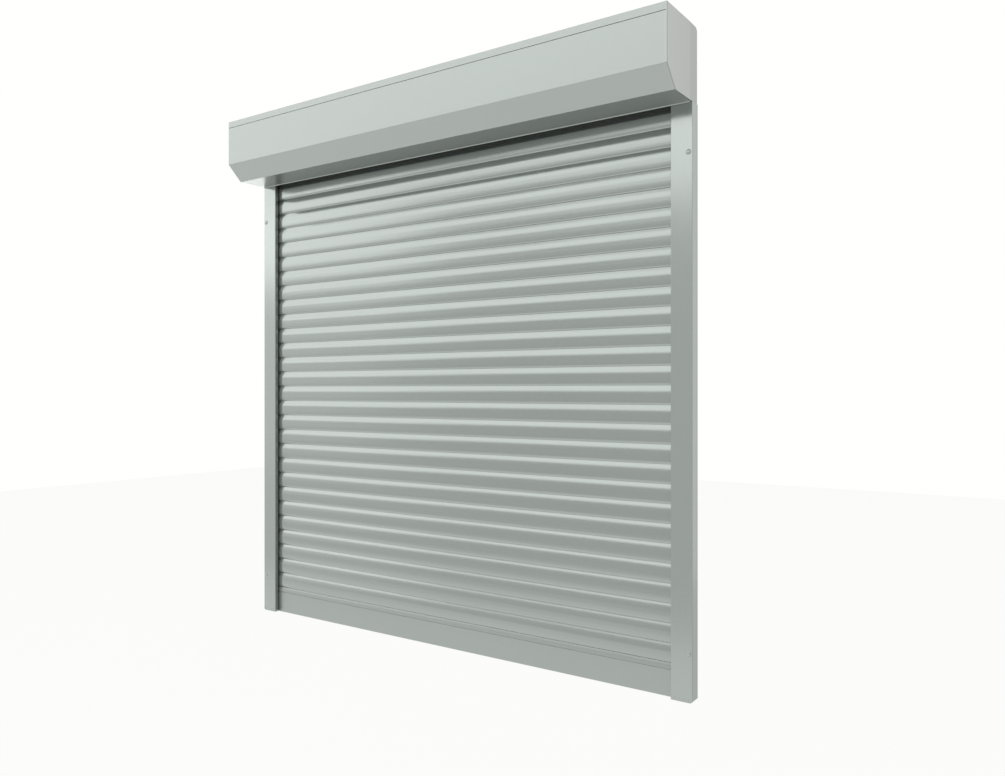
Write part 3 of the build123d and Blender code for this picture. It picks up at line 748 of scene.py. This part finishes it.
class SHUTTER_OT_slats(bpy.types.Operator):
    """Roll-formed slats with a bowed face and a rounded shoulder"""

    bl_idname = "shutter.slats"
    bl_label = "Slats"
    bl_options = {"REGISTER", "UNDO"}

    def execute(self, context):
        """One piece for each slat, as each slides on its own."""
        nodes = sorted(n for n in frame["nodes"] if n.startswith("slat_"))
        if not nodes:
            raise ValueError("The frame holds no slats")
        for node in nodes:
            low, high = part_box(node)
            bm = bmesh.new()
            extrude_along(bm, slat_outline(low, high), low.x, high.x)
            flat_shading(mesh_piece(node + "_skin", node, bm))
        return {"FINISHED"}


def end_slat_outline(low, high):
    """The end slat's outline: plain face, groove line, shoulder, hook, back and the slot for its seal."""
    front, back, top, bottom = low.y / mm, high.y / mm, high.z / mm, low.z / mm
    neck, neck_z = front + neck_offset, bottom + end_slat_height - shoulder_gap
    middle = (front + back) / 2
    groove_top = bottom + end_slat_face + groove_height
    shoulder = tangent_arc((front, groove_top), (front + end_slat_shoulder, neck_z), 90, steps=14)
    front_edges = rounded_outline(
        [
            (middle - seal_slot_half, bottom, slot_edge),
            (front, bottom, bar_edge),
            (front, bottom + end_slat_face, face_edge),
            (front + groove_depth, bottom + end_slat_face, 0),
            (front + groove_depth, groove_top, 0),
        ]
    )
    rear = rounded_outline(
        [
            (back, neck_z - neck_slope, face_edge),
            (back, bottom, bar_edge),
            (middle + seal_slot_half, bottom, slot_edge),
            (middle + seal_slot_half, bottom + seal_slot_depth, 0),
        ]
    )
    slot_top = [(middle - seal_slot_half, bottom + seal_slot_depth)]
    return front_edges + shoulder + hook_points(neck, neck_z, top) + rear + slot_top


def seal_outline(low, high):
    """The rubber seal's outline: a foot in the slot, and ribs on the underside that meets the sill."""
    front, back, bottom, top = low.y / mm, high.y / mm, low.z / mm, high.z / mm
    rib_half = (back - front) / (2 * rib_count)
    ribs = [(front + k * rib_half, bottom + (0 if k % 2 else rib_depth)) for k in range(2 * rib_count + 1)]
    return [(front, top)] + ribs + [(back, top)]


class SHUTTER_OT_end_slat(bpy.types.Operator):
    """The stiff bottom bar with its groove line, rubber seal and gliders"""

    bl_idname = "shutter.end_slat"
    bl_label = "End slat"
    bl_options = {"REGISTER", "UNDO"}

    def execute(self, context):
        """The bar, its seal and its gliders, all on the bar's body."""
        for node, outline in (("end_slat", end_slat_outline), ("end_slat_seal", seal_outline)):
            low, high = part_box(node)
            bm = bmesh.new()
            extrude_along(bm, outline(low, high), low.x, high.x)
            flat_shading(mesh_piece(node + "_bar", node, bm))
        softened("end_slat_caps", context.scene.shutter_sizes.moulded_edge)
        return {"FINISHED"}


# Box


class SHUTTER_OT_box(bpy.types.Operator):
    """The folded sheets and die-cast ends of the box, with their screws"""

    bl_idname = "shutter.box"
    bl_label = "Box"
    bl_options = {"REGISTER", "UNDO"}

    def execute(self, context):
        """Only the outer edges of the caps are rounded, and the collar inside stays sharp."""
        sizes = context.scene.shutter_sizes
        for node, side in (("end_cap_left", -1), ("end_cap_right", 1)):
            low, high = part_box(node)
            inner = (high.x if side > 0 else -low.x) - cap_outer_zone * mm
            softened(node, sizes.cast_edge, segments=3, where=lambda place: side * place.x > inner)
        for node in ("hood_back_shell", "hood_front_cover", "hood_screws", "cover_screws"):
            softened(node, sizes.sheet_edge)
        softened("cable_grommet", sizes.moulded_edge)
        return {"FINISHED"}


# Rails


class SHUTTER_OT_rails(bpy.types.Operator):
    """The extruded rails with their feet, inlets and plugs"""

    bl_idname = "shutter.rails"
    bl_label = "Rails"
    bl_options = {"REGISTER", "UNDO"}

    def execute(self, context):
        """Four plugs with domed heads and hollow skirts, and the rails with their other pieces."""
        sizes = context.scene.shutter_sizes
        low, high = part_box("rail_plugs")
        depth, dome = (high.y - low.y) / mm, sizes.plug_dome / mm
        # Rings of the domed head, as angles in radians from its middle
        turns = (0, 0.35, 0.7, 1.0, 1.25, 1.45)
        head = [(plug_radius * math.sin(t), plug_flange - dome * math.cos(t)) for t in turns]
        skirt = [(plug_radius, plug_flange), (plug_skirt, plug_flange), (plug_skirt, depth)]
        bore = [(plug_bore, depth), (plug_bore, plug_bore_end), (0, plug_bore_end)]
        bm = bmesh.new()
        inset = plug_radius * mm
        for x in (low.x + inset, high.x - inset):
            for z in (low.z + inset, high.z - inset):
                turned(bm, (x, low.y, z), head + skirt + bore)
        mesh_piece("rail_plug_domes", "rail_plugs", bm)
        for node in ("guide_rail_left", "guide_rail_right"):
            softened(node, sizes.sheet_edge)
        for node in ("rail_feet", "rail_funnel_left", "rail_funnel_right"):
            softened(node, sizes.moulded_edge)
        return {"FINISHED"}


def bristle(bm, middle, row, root, tip, z, end_z):
    """
    Adds one three-sided bristle from its root in the backing, at one height, to its tip by the slats, at
    another. Its row is in millimetres from the strip's middle.
    """
    base = [(row - row_half, -bristle_below), (row + row_half, -bristle_below), (row, bristle_above)]
    ring = [bm.verts.new((middle + dx * mm, root, z + dz * mm)) for dx, dz in base]
    end = bm.verts.new((middle + row * row_gather * mm, tip, end_z))
    bm.faces.new(ring)
    for k in range(3):
        bm.faces.new((ring[k], ring[(k + 1) % 3], end))


class SHUTTER_OT_brush_seals(bpy.types.Operator):
    """The brush strips in the rails, each with its bristles"""

    bl_idname = "shutter.brush_seals"
    bl_label = "Brush seals"
    bl_options = {"REGISTER", "UNDO"}

    def execute(self, context):
        """A backing and two rows of bristles for each strip, with a fixed seed for their lean."""
        chance = random.Random(7)
        low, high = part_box("rail_seals")
        slat_low, slat_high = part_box("slat_01")
        pitch = context.scene.shutter_sizes.bristle_pitch
        backing, clearance = strip_backing * mm, slat_clearance * mm
        strips = ((low.y, slat_low.y - clearance, backing), (high.y, slat_high.y + clearance, -backing))
        bm = bmesh.new()
        for side in (-1, 1):
            x_mouth, x_root = side * (high.x - strip_width * mm), side * high.x
            for seat, tip, inwards in strips:
                near, far = sorted((seat / mm, (seat + inwards) / mm))
                foot, head = low.z / mm, high.z / mm
                corners = [(near, foot), (far, foot), (far, head), (near, head)]
                extrude_along(bm, corners, *sorted((x_mouth, x_root)))
                middle, root = (x_mouth + x_root) / 2, seat + inwards / 2
                for row in (-row_half, row_half):
                    for k in range(int((high.z - low.z) / pitch)):
                        z = low.z + (k + 0.5 + row_shift * row / row_half) * pitch
                        lean = chance.uniform(-bristle_lean, bristle_lean) * mm
                        bristle(bm, middle, row, root, tip, z, min(z + lean, high.z - strip_margin * mm))
        mesh_piece("rail_brush_pile", "rail_seals", bm)
        return {"FINISHED"}


# Roller, bearing and motor


class SHUTTER_OT_roller(bpy.types.Operator):
    """The roller tube with its plug, pin, bearing and clips"""

    bl_idname = "shutter.roller"
    bl_label = "Roller"
    bl_options = {"REGISTER", "UNDO"}

    def execute(self, context):
        """Smooth balls where the solid ones lie round the bearing, and the roller's other pieces."""
        low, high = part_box("bearing_balls")
        centre, radius = (low + high) / 2, (high.x - low.x) / 2
        track = (high.z - low.z) / 2 - radius
        bm = bmesh.new()
        groups = {}
        for vertex in frame["nodes"]["bearing_balls"].data.vertices:
            turn = math.atan2(vertex.co.z - centre.z, vertex.co.y - centre.y)
            number = round(turn * ball_count / (2 * math.pi)) % ball_count
            groups.setdefault(number, []).append(vertex.co)
        if len(groups) != ball_count:
            raise ValueError(f"The bearing holds {len(groups)} balls")
        for points in groups.values():
            middle = sum(points, Vector()) / len(points)
            turn = math.atan2(middle.z - centre.z, middle.y - centre.y)
            place = centre + track * Vector((0, math.cos(turn), math.sin(turn)))
            ball = bmesh.ops.create_icosphere(bm, subdivisions=3, radius=radius)
            bmesh.ops.translate(bm, verts=ball["verts"], vec=place)
        mesh_piece("bearing_ball_set", "bearing_balls", bm, smooth_angle=60.0)
        sizes = context.scene.shutter_sizes
        softened("roller_tube", sizes.sheet_edge)
        for node in ("tube_end_plug", "idler_pin"):
            softened(node, sizes.moulded_edge)
        for node in ("bearing_outer_ring", "bearing_inner_ring", "bearing_holder"):
            softened(node, sizes.sheet_edge)
        softened("strap_clips", sizes.moulded_edge)
        return {"FINISHED"}


class SHUTTER_OT_motor(bpy.types.Operator):
    """The tubular motor with its head, crown, drive wheel and bracket"""

    bl_idname = "shutter.motor"
    bl_label = "Motor"
    bl_options = {"REGISTER", "UNDO"}

    def execute(self, context):
        """Rounded edges on the motor's pieces."""
        sizes = context.scene.shutter_sizes
        for node in ("motor_tube", "motor_head", "motor_crown", "drive_wheel"):
            softened(node, sizes.moulded_edge)
        for node in ("motor_bracket", "bracket_screws"):
            softened(node, sizes.sheet_edge)
        return {"FINISHED"}


# Straps


class SHUTTER_OT_straps(bpy.types.Operator):
    """The spring-steel straps that hang the curtain"""

    bl_idname = "shutter.straps"
    bl_label = "Straps"
    bl_options = {"REGISTER", "UNDO"}

    def execute(self, context):
        """Four bent strips."""
        low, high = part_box("hanger_straps")
        back, tube = high.y / mm - strap_half, low.y / mm + strap_half
        bottom, top = low.z / mm, high.z / mm
        kinks = [
            (back, bottom, 0),
            (back, bottom + strap_low_end, strap_bend),
            (tube, top - strap_high_end, strap_bend),
            (tube, top, 0),
        ]
        line = rounded_outline(kinks, steps=8)
        sides = []
        for k, here in enumerate(line):
            before, after = Vector(line[max(k - 1, 0)]), Vector(line[min(k + 1, len(line) - 1)])
            run = (after - before).normalized()
            across = Vector((-run.y, run.x)) * strap_half
            sides.append((tuple(Vector(here) - across), tuple(Vector(here) + across)))
        outline = [a for a, b in sides] + [b for a, b in reversed(sides)]
        bm = bmesh.new()
        for x in strap_places:
            extrude_along(bm, outline, (x - strap_half_width) * mm, (x + strap_half_width) * mm)
        piece = mesh_piece("hanger_strap_strips", "hanger_straps", bm)
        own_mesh(piece)
        return {"FINISHED"}


class SHUTTER_OT_other_solids(bpy.types.Operator):
    """Finishes on every node that keeps its own solid"""

    bl_idname = "shutter.other_solids"
    bl_label = "Other solids"
    bl_options = {"REGISTER", "UNDO"}

    def execute(self, context):
        """The finish of each node's slot, on all its material slots."""
        for name, node in frame["nodes"].items():
            if not node.data.materials:
                raise ValueError(f"{name} has no material slot for its finish")
            for k in range(len(node.data.materials)):
                node.data.materials[k] = finish_of(slot_of(name))
        return {"FINISHED"}


# Stage


def seen_directly(tree):
    """A factor of 1 for what the camera sees, itself or in metal or glass, and 0 for other light."""
    path = add_node(tree, "ShaderNodeLightPath").outputs
    gloss = add_node(
        tree,
        "ShaderNodeMath",
        links={0: path["Is Camera Ray"], 1: path["Is Glossy Ray"]},
        operation="MAXIMUM",
    )
    either = add_node(
        tree,
        "ShaderNodeMath",
        links={0: gloss.outputs[0], 1: path["Is Transmission Ray"]},
        operation="MAXIMUM",
    )
    return either.outputs[0]


def plain_world(scene, level):
    """White where the camera sees it, and a plain level of light on the shutter."""
    world = bpy.data.worlds.new("plain_surroundings")
    world.use_nodes = True
    tree = world.node_tree
    tree.nodes.clear()
    strength = add_node(
        tree, "ShaderNodeMapRange", {"To Min": level, "To Max": 1.0}, {"Value": seen_directly(tree)}
    )
    sky = {"Color": linear("#FFFFFD")}
    shader = add_node(tree, "ShaderNodeBackground", sky, {"Strength": strength.outputs[0]})
    add_node(tree, "ShaderNodeOutputWorld", links={"Surface": shader.outputs[0]})
    scene.world = world


def floor_sheet(drop):
    """A plain pale floor, a window sill's height below the rail feet, with the shutter's soft shadow."""
    material, tree, place = new_material("pale_floor")
    clouds = add_node(tree, "ShaderNodeTexNoise", {"Scale": 5.0}, {"Vector": place})
    tint = add_node(
        tree,
        "ShaderNodeMix",
        {6: linear("#F3F3F1"), 7: linear("#F6F6F4")},
        {0: clouds.outputs["Fac"]},
        data_type="RGBA",
    )
    matt = add_node(tree, "ShaderNodeBsdfPrincipled", {"Roughness": 0.9}, {"Base Color": tint.outputs[2]})
    glow = add_node(tree, "ShaderNodeEmission", {"Color": linear("#FFFFFD"), "Strength": 1.0})
    share = add_node(
        tree, "ShaderNodeMath", {1: glow_share}, {0: seen_directly(tree)}, operation="MULTIPLY"
    )
    mix = add_node(
        tree, "ShaderNodeMixShader", links={0: share.outputs[0], 1: matt.outputs[0], 2: glow.outputs[0]}
    )
    add_node(tree, "ShaderNodeOutputMaterial", links={"Surface": mix.outputs[0]})
    bm = bmesh.new()
    bmesh.ops.create_grid(bm, x_segments=1, y_segments=1, size=floor_half)
    mesh = bpy.data.meshes.new("floor")
    bm.to_mesh(mesh)
    bm.free()
    mesh.materials.append(material)
    floor = bpy.data.objects.new("floor", mesh)
    bpy.context.scene.collection.objects.link(floor)
    floor.location.z = -drop


def softbox(name, place, target, size, level):
    """A large flat light that points at a place and adds its level to the white behind it."""
    light = bpy.data.lights.new(name, "AREA")
    light.shape = "RECTANGLE"
    light.size, light.size_y = size
    light.energy = level * white_power * size[0] * size[1]
    lamp = bpy.data.objects.new(name, light)
    bpy.context.scene.collection.objects.link(lamp)
    lamp.location = place
    lamp.rotation_euler = (Vector(target) - Vector(place)).to_track_quat("-Z", "Y").to_euler()
    lamp.visible_camera = False


def view_camera(scene):
    """The photo's view: a level camera, about 35 degrees from square, with a short lens."""
    data = bpy.data.cameras.new("view")
    data.sensor_width = camera_sensor
    data.sensor_fit = "HORIZONTAL"
    data.lens = camera_lens
    data.shift_y = camera_shift
    data.clip_start = 0.01
    camera = bpy.data.objects.new("view", data)
    scene.collection.objects.link(camera)
    camera.location = camera_place
    camera.rotation_euler = (math.radians(90), 0, math.radians(camera_turn))
    scene.camera = camera


class SHUTTER_OT_stage(bpy.types.Operator):
    """Pale floor, soft lights and the camera"""

    bl_idname = "shutter.stage"
    bl_label = "Stage"
    bl_options = {"REGISTER", "UNDO"}

    def execute(self, context):
        """Everything round the shutter that isn't part of it."""
        scene = context.scene
        stage = scene.shutter_stage
        plain_world(scene, stage.sky_level)
        floor_sheet(stage.floor_drop)
        softbox("front_softbox", (-5.7, -12.8, 8.6), (0, 0, 8.6), (8.0, 9.0), stage.front_level)
        softbox("front_left_softbox", (-11.6, -7.8, 7.0), (0, 0, 7.0), (8.0, 9.0), stage.front_level)
        softbox("left_softbox", (-11.8, -7.5, 1.45), (0, 0, 1.45), (7.0, 4.6), stage.left_level)
        softbox("right_softbox", (9.0, -10.7, 8.6), (0, 0, 8.6), (16.0, 9.0), stage.right_level)
        softbox("top_softbox", (-0.3, -1.2, 3.6), (-0.3, -1.2, 0), (3.0, 2.0), stage.top_level)
        softbox("back_softbox", (3.3, 3.2, 1.4), (3.3, 0, 1.4), (2.6, 3.8), stage.back_level)
        softbox("low_softbox", (-1.8, -1.4, -0.85), (-1.8, -1.4, 1), (5.6, 3.4), stage.low_level)
        softbox("low_far_softbox", (-8.0, -5.6, -0.84), (-8.0, -5.6, 1), (6.0, 5.0), stage.low_left_level)
        softbox("low_back_softbox", (-6.5, 4.5, -0.85), (-6.5, 4.5, 1), (6.0, 4.0), stage.low_back_level)
        view_camera(scene)
        scene.view_settings.view_transform = "Standard"
        return {"FINISHED"}


# Panel and registration


operators = (
    SHUTTER_OT_other_solids,
    SHUTTER_OT_slats,
    SHUTTER_OT_end_slat,
    SHUTTER_OT_box,
    SHUTTER_OT_rails,
    SHUTTER_OT_brush_seals,
    SHUTTER_OT_roller,
    SHUTTER_OT_motor,
    SHUTTER_OT_straps,
    SHUTTER_OT_stage,
)


class SHUTTER_PT_panel(bpy.types.Panel):
    """The shutter's steps and settings"""

    bl_idname = "SHUTTER_PT_panel"
    bl_label = "Roller shutter"
    bl_space_type = "VIEW_3D"
    bl_region_type = "UI"
    bl_category = "Shutter"

    def draw(self, context):
        """Lists the settings and then one button for each step."""
        for group in ("shutter_finish", "shutter_sizes", "shutter_stage"):
            settings = getattr(context.scene, group)
            column = self.layout.column(align=True)
            for name in settings.__annotations__:
                column.prop(settings, name)
        for step in operators:
            self.layout.operator(step.bl_idname)


groups = {"shutter_finish": ShutterFinish, "shutter_sizes": ShutterSizes, "shutter_stage": ShutterStage}


def register():
    """Registers the settings, steps and panel."""
    for name, group in groups.items():
        bpy.utils.register_class(group)
        setattr(bpy.types.Scene, name, bpy.props.PointerProperty(type=group))
    for step in operators:
        bpy.utils.register_class(step)
    bpy.utils.register_class(SHUTTER_PT_panel)


def unregister():
    """Takes everything out again, last first."""
    bpy.utils.unregister_class(SHUTTER_PT_panel)
    for step in reversed(operators):
        bpy.utils.unregister_class(step)
    for name, group in reversed(groups.items()):
        delattr(bpy.types.Scene, name)
        bpy.utils.unregister_class(group)


def main():
    """Registers the classes and runs every step in order."""
    register()
    for step in operators:
        prefix, name = step.bl_idname.split(".")
        getattr(getattr(bpy.ops, prefix), name)()


if __name__ == "__main__":
    main()
